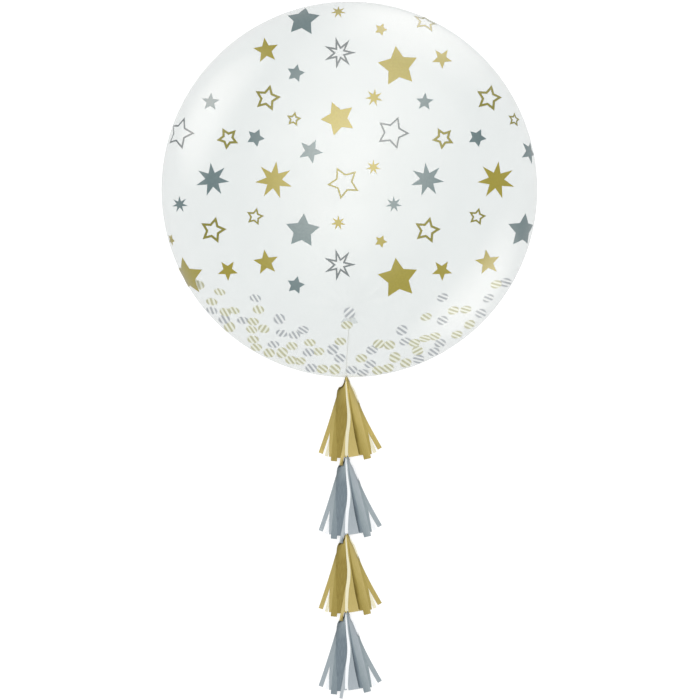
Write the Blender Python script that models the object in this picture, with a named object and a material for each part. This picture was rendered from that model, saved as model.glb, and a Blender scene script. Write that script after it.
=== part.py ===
"""A clear confetti balloon with a tail of four foil tassels, lying on a floor.

The balloon rests on a small flat spot at the origin. Its neck is tucked under, towards -Y, and the
tail runs out from below the ball and lies along -Y. Metres, +Z up.
"""

import math
from typing import NamedTuple

import bmesh
import bpy
from mathutils import Matrix, Vector

# The ball, a film blown up to a sphere, with the spot that it rests on
BALL_DIAMETER = 0.6096
FLAT_SPOT_RADIUS = 0.035

# The neck, pulled out of the ball, tied and cut off straight
NECK_DIP = math.radians(52)
NECK_MOUTH_RADIUS = 0.030
NECK_TO_TIE = 0.022
NECK_WAIST_RADIUS = 0.0055
NECK_TAIL_LENGTH = 0.024
NECK_END_WIDTH = 0.026
NECK_END_THICKNESS = 0.005

# The gathers, folds that run from the waist out onto the ball
GATHERS = 12
GATHER_REACH = 0.060
GATHER_DEPTH = 0.0022
WAIST_GATHER_DEPTH = 0.0006

# The string, which ties the neck and carries the tassels
STRING_DIAMETER = 0.002
TIE_TURNS = 3
STRING_SPACING = 2 * STRING_DIAMETER

# The tail
TASSELS = ("tassel_gold_1", "tassel_silver_1", "tassel_gold_2", "tassel_silver_2")
TASSEL_LENGTH = 0.1463
TASSEL_OVERLAP = 0.0195
TASSEL_HEIGHT = 0.014
STRIP_THICKNESS = 0.001
TAIL_OFFSET = -0.0052
TAIL_TUCK = 0.0025

# Clear spaces: between pieces that touch, and between foil strips that lie on each other
GAP = 0.0003
LAYER_GAP = 0.0012

# How finely the round shapes are cut
BALL_SEGMENTS = 4 * GATHERS
BALL_RINGS = 22
GATHER_RINGS = 3
TIE_SEGMENTS = 20

BALL_RADIUS = BALL_DIAMETER / 2
BALL_HEIGHT = math.sqrt(BALL_RADIUS**2 - FLAT_SPOT_RADIUS**2)
BALL_CENTRE = Vector((0, 0, BALL_HEIGHT))
NECK_AXIS = Vector((0, -math.cos(NECK_DIP), -math.sin(NECK_DIP)))
TIE_RADIUS = NECK_WAIST_RADIUS + WAIST_GATHER_DEPTH + GAP
TIE_WIDTH = TIE_TURNS * STRING_DIAMETER
TIE_CENTRE = BALL_CENTRE + NECK_AXIS * (BALL_RADIUS + NECK_TO_TIE)
STRING_REST = STRING_DIAMETER / 2 + GAP / 3
TASSEL_PITCH = TASSEL_LENGTH - TASSEL_OVERLAP
LAYER = STRIP_THICKNESS + LAYER_GAP


# How the string falls from the tie to the floor: shares of its way across, along and down
FALL = (
    (0.05, 0.05, -0.08),
    (0.12, 0.13, -0.13),
    (0.20, 0.23, -0.05),
    (0.32, 0.33, 0.17),
    (0.45, 0.42, 0.48),
    (0.58, 0.52, 0.79),
    (0.72, 0.64, 0.96),
    (0.86, 0.80, 1.00),
)


class Section(NamedTuple):
    """A cut across a tassel's gathered top, as shares of the tassel's length and of its height."""

    along: float
    left: float
    right: float
    height: float


SECTIONS = (
    Section(0.000, -0.011, 0.011, 0.25),
    Section(0.028, -0.020, 0.024, 0.36),
    Section(0.093, -0.048, 0.046, 0.66),
    Section(0.158, -0.097, 0.085, 0.90),
    Section(0.261, -0.113, 0.130, 1.00),
    Section(0.378, -0.134, 0.168, 0.93),
    Section(0.550, -0.195, 0.252, 0.67),
)

# The folds across the gathered top: share of the width, and share of the height there
FOLDS = (
    (0.00, 0.20),
    (0.11, 0.62),
    (0.27, 0.86),
    (0.40, 0.74),
    (0.49, 1.00),
    (0.55, 0.58),
    (0.64, 0.88),
    (0.78, 0.80),
    (0.91, 0.50),
    (1.00, 0.20),
)


class Strip(NamedTuple):
    """One strip of the fringe. Places and widths are shares of the tassel's length.

    root is where it comes out of the gathered top, and root_level how high up in it, from 0 to 1.
    layer counts the strips that its end lies on, and over_next says that it lies on the next head.
    """

    root: float
    root_level: float
    end_across: float
    end_along: float
    width: float
    layer: int
    over_next: bool = False
    bow: float = 0.0


STRIPS = (
    Strip(-0.166, 0.00, -0.284, 0.861, 0.048, 0),
    Strip(-0.150, 0.30, -0.229, 0.896, 0.034, 0, bow=0.010),
    Strip(-0.132, 0.12, -0.166, 0.903, 0.052, 0),
    Strip(-0.112, 0.48, -0.136, 0.946, 0.074, 1),
    Strip(-0.066, 0.72, -0.088, 0.920, 0.086, 2),
    Strip(-0.014, 0.90, -0.056, 1.000, 0.038, 2, over_next=True, bow=0.006),
    Strip(0.008, 0.62, -0.003, 0.903, 0.036, 2, over_next=True),
    Strip(0.028, 1.00, 0.008, 0.905, 0.036, 3, over_next=True, bow=0.008),
    Strip(0.062, 0.80, 0.084, 0.908, 0.116, 2, over_next=True),
    Strip(0.118, 0.30, 0.168, 0.883, 0.046, 0),
    Strip(0.150, 0.62, 0.238, 0.925, 0.078, 1),
    Strip(0.168, 0.10, 0.256, 0.874, 0.060, 0),
    Strip(0.196, 0.34, 0.322, 0.858, 0.034, 0, bow=-0.008),
    Strip(0.220, 0.04, 0.374, 0.811, 0.050, 0, bow=-0.008),
    Strip(-0.070, 0.02, -0.095, 0.850, 0.066, 0),
    Strip(0.070, 0.02, 0.100, 0.845, 0.066, 0),
)
STRIP_ROOT = 0.49
STRIP_STEPS = 5

# A strip starts narrower, is as wide as it gets and lies as low as it gets well before its end
ROOT_WIDTH = 0.55
FULL_WIDTH_AT = 0.62
SETTLED_AT = 0.87
TOP_ROOT = 0.8


def clear_scene():
    for old in list(bpy.data.objects):
        bpy.data.objects.remove(old)


def make_material(name, colour, roughness, metallic=0.0, alpha=1.0):
    made = bpy.data.materials.new(name)
    made.use_nodes = True
    shader = made.node_tree.nodes["Principled BSDF"]
    shader.inputs["Base Color"].default_value = (*colour, 1)
    shader.inputs["Roughness"].default_value = roughness
    shader.inputs["Metallic"].default_value = metallic
    shader.inputs["Alpha"].default_value = alpha
    return made


def add_object(name, mesh, material):
    made = bpy.data.objects.new(name, mesh)
    mesh.materials.append(material)
    bpy.context.scene.collection.objects.link(made)
    return made


def mesh_from(bm, name, smooth_angle=None):
    """A mesh with its faces pointing out, from bm, which is freed."""
    bmesh.ops.recalc_face_normals(bm, faces=bm.faces)
    mesh = bpy.data.meshes.new(name)
    bm.to_mesh(mesh)
    bm.free()
    if smooth_angle is not None:
        mesh.shade_smooth()
        mesh.set_sharp_from_angle(angle=smooth_angle)
    return mesh


def bridge(bm, one, other):
    """Quads between two rings of as many points."""
    for i in range(len(one)):
        j = (i + 1) % len(one)
        bm.faces.new((one[i], one[j], other[j], other[i]))


def ease(t):
    """0 to 1, flat at both ends."""
    t = min(max(t, 0.0), 1.0)
    return t * t * (3 - 2 * t)


class Ring(NamedTuple):
    """A ring round the neck's axis: its place along it, half its width across and up, its folds."""

    along: float
    across: float
    up: float
    fold: float
    fold_along: float


def ball_rings():
    """From the far side of the ball to the neck's mouth, closer together where the gathers are."""
    mouth = math.pi - math.asin(NECK_MOUTH_RADIUS / BALL_RADIUS)
    gathered = mouth - GATHER_REACH / BALL_RADIUS
    angles = [gathered * i / BALL_RINGS for i in range(1, BALL_RINGS + 1)]
    angles += [
        gathered + (mouth - gathered) * i / GATHER_RINGS
        for i in range(1, GATHER_RINGS + 1)
    ]
    for angle in angles:
        fold = GATHER_DEPTH * ease((angle - gathered) / (mouth - gathered))
        radius = BALL_RADIUS * math.sin(angle)
        along = -BALL_RADIUS * math.cos(angle)
        yield Ring(along, radius, radius, 0.0, fold)


def neck_rings():
    """From just past the mouth, in to the waist, along the tie and out to the flat cut end."""
    mouth_along = math.sqrt(BALL_RADIUS**2 - NECK_MOUTH_RADIUS**2)
    waist_along = BALL_RADIUS + NECK_TO_TIE
    half_tie = TIE_WIDTH / 2 + GAP
    for t in (0.12, 0.3, 0.55):
        along = mouth_along + (waist_along - half_tie - mouth_along) * t
        radius = NECK_WAIST_RADIUS
        radius += (NECK_MOUTH_RADIUS - NECK_WAIST_RADIUS) * (1 - t) ** 3
        share = 1 - t
        fold = GATHER_DEPTH * share + WAIST_GATHER_DEPTH * t
        yield Ring(along, radius, radius, fold * t, fold * share)
    for side in (-1, 1):
        along = waist_along + side * half_tie
        yield Ring(
            along, NECK_WAIST_RADIUS, NECK_WAIST_RADIUS, WAIST_GATHER_DEPTH, 0.0
        )
    for t in (0.3, 0.65, 1.0):
        along = waist_along + half_tie + (NECK_TAIL_LENGTH - half_tie) * t
        width = NECK_WAIST_RADIUS + (NECK_END_WIDTH / 2 - NECK_WAIST_RADIUS) * ease(t)
        up = NECK_WAIST_RADIUS + (NECK_END_THICKNESS / 2 - NECK_WAIST_RADIUS) * ease(t)
        yield Ring(along, width, up, WAIST_GATHER_DEPTH * (1 - t / 2), 0.0)


def neck_frame(centre):
    """Turns +Z to the neck's axis, with X kept level, and moves the origin to centre."""
    across = Vector((1, 0, 0))
    up = NECK_AXIS.cross(across)
    turn = Matrix((across, up, NECK_AXIS)).transposed()
    return Matrix.Translation(centre) @ turn.to_4x4()


def ring_of_points(bm, ring, segments):
    points = []
    for i in range(segments):
        angle = 2 * math.pi * i / segments
        wave = math.cos(GATHERS * angle)
        across = (ring.across + ring.fold * wave) * math.cos(angle)
        up = (ring.up + ring.fold * wave) * math.sin(angle)
        points.append(bm.verts.new((across, up, ring.along + ring.fold_along * wave)))
    return points


def make_balloon(film):
    bm = bmesh.new()
    far = bm.verts.new((0, 0, -BALL_RADIUS))
    rings = [ring_of_points(bm, r, BALL_SEGMENTS) for r in ball_rings()]
    rings += [ring_of_points(bm, r, BALL_SEGMENTS) for r in neck_rings()]
    for i in range(BALL_SEGMENTS):
        bm.faces.new((far, rings[0][(i + 1) % BALL_SEGMENTS], rings[0][i]))
    for one, other in zip(rings, rings[1:]):
        bridge(bm, one, other)
    bm.faces.new(rings[-1])
    bm.transform(neck_frame(BALL_CENTRE))
    cut = bmesh.ops.bisect_plane(
        bm,
        geom=bm.verts[:] + bm.edges[:] + bm.faces[:],
        plane_co=(0, 0, 0),
        plane_no=(0, 0, -1),
        clear_outer=True,
    )
    rim = [e for e in cut["geom_cut"] if isinstance(e, bmesh.types.BMEdge)]
    bmesh.ops.edgeloop_fill(bm, edges=rim)
    return add_object("balloon", mesh_from(bm, "balloon", math.radians(30)), film)


def make_tie(string):
    """The string's turns round the waist, as a turned ring with one bulge for each turn."""
    profile = [(TIE_RADIUS, -TIE_WIDTH / 2), (TIE_RADIUS, TIE_WIDTH / 2)]
    for turn in reversed(range(TIE_TURNS)):
        middle = (turn + 0.5) * STRING_DIAMETER - TIE_WIDTH / 2
        for share, out in ((0.42, 0.55), (0.2, 1.0), (-0.2, 1.0), (-0.42, 0.55)):
            profile.append(
                (TIE_RADIUS + STRING_DIAMETER * out, middle + STRING_DIAMETER * share)
            )
    bm = bmesh.new()
    columns = []
    for i in range(TIE_SEGMENTS):
        angle = 2 * math.pi * i / TIE_SEGMENTS
        columns.append(
            [
                bm.verts.new((r * math.cos(angle), r * math.sin(angle), z))
                for r, z in profile
            ]
        )
    for i in range(TIE_SEGMENTS):
        bridge(bm, columns[i], columns[(i + 1) % TIE_SEGMENTS])
    bm.transform(neck_frame(TIE_CENTRE))
    return add_object("neck_tie", mesh_from(bm, "neck_tie", math.radians(40)), string)


def smooth_route(points, spacing):
    """Points at even steps along a smooth curve through points, which ends run straight into."""
    ends = [2 * points[0] - points[1], *points, 2 * points[-1] - points[-2]]
    fine = []
    for a, b, c, d in zip(ends, ends[1:], ends[2:], ends[3:]):
        for step in range(16):
            t = step / 16
            fine.append(
                b
                + (c - a) * (t / 2)
                + (2 * a - 5 * b + 4 * c - d) * (t * t / 2)
                + (3 * b - 3 * c + d - a) * (t**3 / 2)
            )
    fine.append(points[-1])
    lengths = [0.0]
    for one, other in zip(fine, fine[1:]):
        lengths.append(lengths[-1] + (other - one).length)
    steps = max(2, round(lengths[-1] / spacing))
    route, at = [], 0
    for step in range(steps + 1):
        wanted = lengths[-1] * step / steps
        while at < len(fine) - 2 and lengths[at + 1] < wanted:
            at += 1
        share = (wanted - lengths[at]) / (lengths[at + 1] - lengths[at])
        route.append(fine[at].lerp(fine[at + 1], share))
    return route


def make_string(name, points, string):
    curve = bpy.data.curves.new(name, "CURVE")
    curve.dimensions = "3D"
    curve.bevel_depth = STRING_DIAMETER / 2
    curve.bevel_resolution = 2
    curve.use_fill_caps = True
    spline = curve.splines.new("POLY")
    route = smooth_route(points, STRING_SPACING)
    spline.points.add(len(route) - 1)
    for point, place in zip(spline.points, route):
        point.co = (place.x, place.y, max(place.z, STRING_REST), 1)
    return add_object(name, curve, string)


def head_place(number):
    """Where a tassel's head starts, on the floor, the first one just inside the ball's outline."""
    along = BALL_RADIUS - TAIL_TUCK + number * TASSEL_PITCH
    return Vector((TAIL_OFFSET, -along, 0))


def first_stretch():
    """The string from the tie out over the neck's cut end, down to the floor and to the first head."""
    out = Vector((0, -math.sin(NECK_DIP), math.cos(NECK_DIP)))
    start = TIE_CENTRE + out * (TIE_RADIUS + STRING_DIAMETER + GAP)
    head = head_place(0)
    head.z = STRING_REST
    head.y += GAP
    way = head - start
    fall = [start + Vector(a * b for a, b in zip(way, shares)) for shares in FALL]
    return [start, *fall, head]


def later_stretch(number):
    """The string on the floor from under one tassel's gathered top to the next head."""
    start = head_place(number)
    start.y -= SECTIONS[-1].along * TASSEL_LENGTH + GAP
    start.z = STRING_REST
    end = head_place(number + 1)
    end.y += GAP
    end.z = STRING_REST
    sway = Vector((STRING_DIAMETER / 4, 0, 0))
    return [start, start.lerp(end, 0.35) - sway, start.lerp(end, 0.7) + sway, end]


def top_height(along):
    """How high a tassel's gathered top stands, this share of the length from its start."""
    for one, other in zip(SECTIONS, SECTIONS[1:]):
        if along <= other.along:
            t = (along - one.along) / (other.along - one.along)
            return TASSEL_HEIGHT * (one.height + (other.height - one.height) * t)
    return TASSEL_HEIGHT * SECTIONS[-1].height


def gathered_top():
    """The head and the gathered sheet below it, flat on the floor and folded on top."""
    bm = bmesh.new()
    rings = []
    for section in SECTIONS:
        left, right = section.left * TASSEL_LENGTH, section.right * TASSEL_LENGTH
        along, height = -section.along * TASSEL_LENGTH, section.height * TASSEL_HEIGHT
        deep = min(1.0, section.along / SECTIONS[3].along)
        ring = [bm.verts.new((right, along, 0)), bm.verts.new((left, along, 0))]
        for share, level in FOLDS:
            round_level = 0.2 + 0.8 * math.sin(math.pi * share)
            level = round_level + (level - round_level) * deep
            across = left + (right - left) * share
            ring.append(bm.verts.new((across, along, height * level)))
        rings.append(ring)
    for one, other in zip(rings, rings[1:]):
        bridge(bm, one, other)
    bm.faces.new(rings[0])
    bm.faces.new(rings[-1])
    return mesh_from(bm, "gathered_top")


def strip_levels(strip):
    """The heights of a strip's underside at its root and at its end."""
    room = TASSEL_HEIGHT * SECTIONS[-1].height - STRIP_THICKNESS - 2 * GAP
    root = GAP + room * strip.root_level * TOP_ROOT
    end = strip.layer * LAYER
    if strip.over_next:
        under = top_height(max(0.0, strip.end_along - TASSEL_PITCH / TASSEL_LENGTH))
        end = max(end, under + LAYER_GAP + (strip.layer - 2) * LAYER)
    return root, end


def strip_mesh(strip):
    """A thin strip from inside the gathered top to its square cut end."""
    bm = bmesh.new()
    root = Vector((strip.root, -STRIP_ROOT)) * TASSEL_LENGTH
    end = Vector((strip.end_across, -strip.end_along)) * TASSEL_LENGTH
    side = Vector((root.y - end.y, end.x - root.x)).normalized()
    root_level, end_level = strip_levels(strip)
    rings = []
    for step in range(STRIP_STEPS + 1):
        t = step / STRIP_STEPS
        middle = root.lerp(end, t)
        middle += side * strip.bow * TASSEL_LENGTH * math.sin(math.pi * t)
        share = ROOT_WIDTH + (1 - ROOT_WIDTH) * min(1.0, t / FULL_WIDTH_AT)
        half = side * strip.width * TASSEL_LENGTH * share / 2
        low = root_level + (end_level - root_level) * ease(t / SETTLED_AT)
        corners = ((-1, 0), (1, 0), (1, STRIP_THICKNESS), (-1, STRIP_THICKNESS))
        rings.append(
            [
                bm.verts.new((*(middle + half * sign), low + rise))
                for sign, rise in corners
            ]
        )
    for one, other in zip(rings, rings[1:]):
        bridge(bm, one, other)
    bm.faces.new(rings[0])
    bm.faces.new(rings[-1])
    return mesh_from(bm, "strip")


def fused_tassel():
    """The gathered top and all its strips as one solid."""
    scene = bpy.context.scene
    top = bpy.data.objects.new("top", gathered_top())
    scene.collection.objects.link(top)
    strips = bpy.data.collections.new("strips")
    scene.collection.children.link(strips)
    for strip in STRIPS:
        strips.objects.link(bpy.data.objects.new("strip", strip_mesh(strip)))
    union = top.modifiers.new("union", "BOOLEAN")
    union.operation = "UNION"
    union.solver = "EXACT"
    union.operand_type = "COLLECTION"
    union.collection = strips
    graph = bpy.context.evaluated_depsgraph_get()
    mesh = bpy.data.meshes.new_from_object(top.evaluated_get(graph))
    for helper in [top, *strips.objects]:
        bpy.data.objects.remove(helper)
    bpy.data.collections.remove(strips)
    mesh.shade_smooth()
    mesh.set_sharp_from_angle(angle=math.radians(25))
    return mesh


def make_tassels(foils):
    form = fused_tassel()
    for number, name in enumerate(TASSELS):
        foil = foils["gold" if "gold" in name else "silver"]
        tassel = add_object(name, form.copy(), foil)
        tassel.location = head_place(number)


def main():
    clear_scene()
    film = make_material("printed clear film", (0.80, 0.83, 0.83), 0.25, alpha=0.5)
    string = make_material("white cotton string", (0.85, 0.84, 0.80), 0.9)
    foils = {
        "gold": make_material("gold foil", (0.46, 0.36, 0.09), 0.4, metallic=1.0),
        "silver": make_material("silver foil", (0.27, 0.34, 0.36), 0.4, metallic=1.0),
    }
    make_balloon(film)
    make_tie(string)
    make_string("string_1", first_stretch(), string)
    for number in range(len(TASSELS) - 1):
        make_string(f"string_{number + 2}", later_stretch(number), string)
    make_tassels(foils)


main()
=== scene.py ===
# %% [markdown]
# # A clear confetti balloon with a tail of foil tassels
#
# A ball of clear film, 24 inches across, is printed with gold and silver stars and has paper
# confetti inside. Its neck is tied with a cotton string that carries four foil tassels.
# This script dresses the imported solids: each cell below makes one piece, or one finish, and
# says what it is on the real object and why it is made that way.

import math
import random
from typing import NamedTuple

import bmesh
import bpy
from mathutils import Matrix, Vector


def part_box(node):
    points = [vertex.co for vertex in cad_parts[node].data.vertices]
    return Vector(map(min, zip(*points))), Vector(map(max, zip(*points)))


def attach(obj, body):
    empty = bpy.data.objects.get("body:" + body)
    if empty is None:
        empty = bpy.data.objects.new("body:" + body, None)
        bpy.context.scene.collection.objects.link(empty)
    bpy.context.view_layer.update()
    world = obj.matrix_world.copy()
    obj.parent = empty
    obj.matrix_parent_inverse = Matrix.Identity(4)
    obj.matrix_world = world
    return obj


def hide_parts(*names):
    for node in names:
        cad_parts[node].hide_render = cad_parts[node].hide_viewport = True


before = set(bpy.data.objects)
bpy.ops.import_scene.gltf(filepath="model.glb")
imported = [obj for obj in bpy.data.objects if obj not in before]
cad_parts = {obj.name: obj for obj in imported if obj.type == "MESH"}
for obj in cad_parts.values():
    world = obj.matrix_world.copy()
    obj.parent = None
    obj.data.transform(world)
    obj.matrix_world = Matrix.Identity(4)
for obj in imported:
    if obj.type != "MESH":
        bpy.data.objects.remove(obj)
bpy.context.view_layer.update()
scene = bpy.context.scene

# %% [markdown]
# ## Sizes
#
# Everything is in metres. The ball rests on a small flat spot at the origin, its neck is tucked
# under towards -Y, and the tail lies along -Y. These are the sizes that the solids were built from.

# %% Sizes of the real thing
MM = 0.001
BALL_RADIUS = 304.8 * MM
FLAT_SPOT_RADIUS = 35 * MM
BALL_CENTRE = Vector((0, 0, math.sqrt(BALL_RADIUS**2 - FLAT_SPOT_RADIUS**2)))
NECK_DIP = math.radians(52)
NECK_AXIS = Vector((0, -math.cos(NECK_DIP), -math.sin(NECK_DIP)))
NECK_TO_TIE = 22 * MM
NECK_WAIST_RADIUS = 5.5 * MM
STRING_DIAMETER = 2 * MM
TOUCH = 0.3 * MM
HEADS = [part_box(f"tassel_{ink}")[1] for ink in ("gold_1", "silver_1", "gold_2", "silver_2")]
TASSEL_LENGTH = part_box("tassel_gold_1")[1].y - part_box("tassel_gold_1")[0].y
TASSEL_PITCH = HEADS[0].y - HEADS[1].y
TAIL_ACROSS = -5.2 * MM
print("tassel length and pitch:", round(TASSEL_LENGTH, 4), round(TASSEL_PITCH, 4))

# %% [markdown]
# ## The camera
#
# The picture shows the balloon upright, cut out on white. The balloon lies down here, so the camera
# looks straight down on it. A very long lens, far away, flattens the view as the picture does.

# %% The camera
LENS = 1500
SENSOR = 36
VIEW_WIDTH = 1134.9 * MM
VIEW_CENTRE = (1.0 * MM, -260.2 * MM)


def add_camera():
    data = bpy.data.cameras.new("camera")
    data.lens = LENS
    data.sensor_width = SENSOR
    distance = VIEW_WIDTH * LENS / SENSOR
    data.clip_start = distance / 10
    data.clip_end = distance * 2
    camera = bpy.data.objects.new("camera", data)
    scene.collection.objects.link(camera)
    camera.location = (*VIEW_CENTRE, BALL_CENTRE.z + distance)
    scene.camera = camera
    return distance


CAMERA_ABOVE = add_camera()
print("camera height above the ball's centre:", round(CAMERA_ABOVE, 2))

# %% [markdown]
# ## Small helpers
#
# An operator acts on everything that is selected, so one helper leaves just one object selected.
# A finished piece has its place in its mesh, and rides on the body of the solids.

# %% Helpers for objects and edit mode
def select_only(*objects):
    if bpy.context.object and bpy.context.object.mode == "EDIT":
        bpy.ops.object.mode_set(mode="OBJECT")
    bpy.ops.object.select_all(action="DESELECT")
    for one in objects:
        one.select_set(True)
    bpy.context.view_layer.objects.active = objects[0]


def edit(piece, mode="FACE"):
    select_only(piece)
    bpy.ops.object.mode_set(mode="EDIT")
    bpy.ops.mesh.select_mode(type=mode)


def done_editing():
    bpy.ops.object.mode_set(mode="OBJECT")
    return bpy.context.object


def select_faces(piece, test):
    """In edit mode, selects the faces whose centre passes the test, and no others."""
    bm = bmesh.from_edit_mesh(piece.data)
    bpy.ops.mesh.select_all(action="DESELECT")
    for face in bm.faces:
        face.select_set(test(face.calc_center_median()))
    bmesh.update_edit_mesh(piece.data)


def place_in_mesh(piece):
    select_only(piece)
    bpy.ops.object.transform_apply(location=True, rotation=True, scale=True)
    return piece


def apply_modifier(piece, kind, **settings):
    select_only(piece)
    modifier = piece.modifiers.new(kind, kind)
    for name, value in settings.items():
        setattr(modifier, name, value)
    bpy.ops.object.modifier_apply(modifier=modifier.name)
    return piece


def join(pieces, name):
    select_only(*pieces)
    if len(pieces) > 1:
        bpy.ops.object.join()
    joined = bpy.context.object
    joined.name = joined.data.name = name
    return joined


def copy_of(piece):
    made = piece.copy()
    made.data = piece.data.copy()
    scene.collection.objects.link(made)
    return made


def finish_piece(piece, replaced=()):
    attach(piece, "root")
    if replaced:
        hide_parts(*replaced)
    faces = len(piece.data.polygons) if piece.type == "MESH" else 0
    print(piece.name, "faces:", faces)
    return piece


# %% [markdown]
# ## Helpers for materials
#
# Colours are written as the eye sees them, in hex, and turned to the linear values that a shader
# needs. One function adds a node with its settings and links.

# %% Colours and nodes
def srgb(code):
    """Linear red, green, blue and alpha from a hex colour."""
    parts = [int(code[i : i + 2], 16) / 255 for i in (1, 3, 5)]
    linear = [c / 12.92 if c <= 0.04045 else ((c + 0.055) / 1.055) ** 2.4 for c in parts]
    return (*linear, 1)


def set_inputs(node, inputs):
    links = node.id_data.links
    for name, value in inputs.items():
        if isinstance(value, bpy.types.NodeSocket):
            links.new(value, node.inputs[name])
        else:
            node.inputs[name].default_value = value
    return node


def add_node(tree, kind, inputs=None, **settings):
    made = tree.nodes.new(kind)
    for name, value in settings.items():
        setattr(made, name, value)
    return set_inputs(made, inputs or {})


def new_material(name):
    material = bpy.data.materials.new(name)
    material.use_nodes = True
    tree = material.node_tree
    return material, tree, tree.nodes["Principled BSDF"]


def set_stops(ramp, stops):
    """Gives a colour ramp its stops: pairs of a position and a hex colour."""
    elements = ramp.color_ramp.elements
    while len(elements) < len(stops):
        elements.new(0.5)
    for element, (position, code) in zip(elements, stops):
        element.position = position
        element.color = srgb(code)
    return ramp


# %% [markdown]
# ## The string's way
#
# The string is one cotton cord. It leaves the tie, falls over the neck's cut end to the floor and
# runs through the four tassels, to which it is knotted. It is limp, so it lies flat on the floor
# between the heads. Its route repeats the one that the solids were built from.

# %% The string from the tie to the last tassel
STRING_REST = STRING_DIAMETER / 2 + TOUCH / 3
TIE_RADIUS = NECK_WAIST_RADIUS + 0.6 * MM + TOUCH
TIE_CENTRE = BALL_CENTRE + NECK_AXIS * (BALL_RADIUS + NECK_TO_TIE)
NECK_UP = Vector((0, -math.sin(NECK_DIP), math.cos(NECK_DIP)))

# How it falls from the tie to the floor: shares of its way across, along and down
FALL = (
    (0.05, 0.05, -0.08),
    (0.12, 0.13, -0.13),
    (0.20, 0.23, -0.05),
    (0.32, 0.33, 0.17),
    (0.45, 0.42, 0.48),
    (0.58, 0.52, 0.79),
    (0.72, 0.64, 0.96),
    (0.86, 0.80, 1.00),
)
STRING_END_IN_HEAD = 0.4
FINE_STEPS = 12


def even_steps(points, count):
    """Points at even distances along a smooth curve through these points."""
    ends = [2 * points[0] - points[1], *points, 2 * points[-1] - points[-2]]
    fine = []
    for a, b, c, d in zip(ends, ends[1:], ends[2:], ends[3:]):
        for step in range(FINE_STEPS):
            t = step / FINE_STEPS
            fine.append(
                b
                + (c - a) * (t / 2)
                + (2 * a - 5 * b + 4 * c - d) * (t * t / 2)
                + (3 * b - 3 * c + d - a) * (t**3 / 2)
            )
    fine.append(points[-1])
    reach = [0.0]
    for one, other in zip(fine, fine[1:]):
        reach.append(reach[-1] + (other - one).length)
    route, at = [], 0
    for step in range(count + 1):
        wanted = reach[-1] * step / count
        while at < len(fine) - 2 and reach[at + 1] < wanted:
            at += 1
        share = (wanted - reach[at]) / (reach[at + 1] - reach[at])
        route.append(fine[at].lerp(fine[at + 1], share))
    return route


def string_route():
    start = TIE_CENTRE + NECK_UP * (TIE_RADIUS + STRING_DIAMETER + TOUCH)
    first_head = Vector((TAIL_ACROSS, HEADS[0].y, STRING_REST))
    way = first_head - start
    fall = [start + Vector(a * b for a, b in zip(way, share)) for share in FALL]
    route = [start, *fall, first_head]
    sway = Vector((STRING_DIAMETER / 4, 0, 0))
    for number in range(1, len(HEADS)):
        middle = first_head - Vector((0, TASSEL_PITCH * (number - 0.5), 0))
        route.append(middle - sway * (-1) ** number)
        route.append(first_head - Vector((0, TASSEL_PITCH * number, 0)))
    last = Vector((0, TASSEL_LENGTH * STRING_END_IN_HEAD, 0))
    route.append(route[-1] - last)
    return route


def tube(name, route, diameter, closed=False):
    """A round cord along a route, as a curve with a bevel."""
    curve = bpy.data.curves.new(name, "CURVE")
    curve.dimensions = "3D"
    curve.bevel_depth = diameter / 2
    curve.bevel_resolution = 3
    curve.use_fill_caps = True
    spline = curve.splines.new("POLY")
    spline.points.add(len(route) - 1)
    spline.use_cyclic_u = closed
    for point, place in zip(spline.points, route):
        point.co = (*place, 1)
    made = bpy.data.objects.new(name, curve)
    scene.collection.objects.link(made)
    return made


STRING_POINTS = 220
string_way = even_steps(string_route(), STRING_POINTS)
for place in string_way:
    place.z = max(place.z, STRING_REST)
string = tube("tail_string", string_way, STRING_DIAMETER)

# %% [markdown]
# ## Cotton string
#
# The string is twisted from white cotton yarns. The eye sees a matt off-white with slanting lines,
# where one yarn meets the next. A fine wave, drawn at a slant through the cord, gives the twist.

# %% Twisted cotton
def cotton_material():
    material, tree, shader = new_material("twisted_cotton")
    place = add_node(tree, "ShaderNodeTexCoord")
    slant = add_node(
        tree,
        "ShaderNodeMapping",
        {"Vector": place.outputs["Object"], "Rotation": (0.3, 0.2, 0.9), "Scale": (900, 900, 900)},
    )
    yarns = add_node(
        tree,
        "ShaderNodeTexWave",
        {"Vector": slant.outputs[0], "Scale": 0.35, "Distortion": 1.5, "Detail": 2.0},
    )
    shades = add_node(tree, "ShaderNodeValToRGB", {"Fac": yarns.outputs["Fac"]})
    set_stops(shades, ((0.0, "#E6E3DA"), (1.0, "#FAF9F4")))
    fibres = add_node(
        tree,
        "ShaderNodeBump",
        {"Height": yarns.outputs["Fac"], "Strength": 0.5, "Distance": 0.2 * MM},
    )
    set_inputs(
        shader,
        {
            "Base Color": shades.outputs["Color"],
            "Normal": fibres.outputs["Normal"],
            "Roughness": 0.9,
        },
    )
    return material


cotton = cotton_material()
string.data.materials.append(cotton)
finish_piece(string, ["string_1", "string_2", "string_3", "string_4"])

# %% [markdown]
# ## The tie
#
# The string goes three times round the neck and ends in a small overhand knot. Three turns of a
# helix and a trefoil, which is the shape of an overhand knot, are tubes of the same cord.

# %% The turns round the neck and their knot
TIE_TURNS = 3
TURN_STEPS = 24
KNOT_STEPS = 60
KNOT_SIZE = 1.15 * MM


def neck_place(across, up, along):
    """A point beside the neck's axis, at this distance along it from the tie."""
    return TIE_CENTRE + Vector((across, 0, 0)) + NECK_UP * up + NECK_AXIS * along


def tie_turns():
    radius = TIE_RADIUS + STRING_DIAMETER / 2
    route = []
    for step in range(TIE_TURNS * TURN_STEPS + 1):
        turn = step / TURN_STEPS
        angle = 2 * math.pi * turn + math.pi / 2
        along = (turn - TIE_TURNS / 2) * STRING_DIAMETER * 0.98
        route.append(neck_place(radius * math.cos(angle), radius * math.sin(angle), along))
    return route


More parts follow.
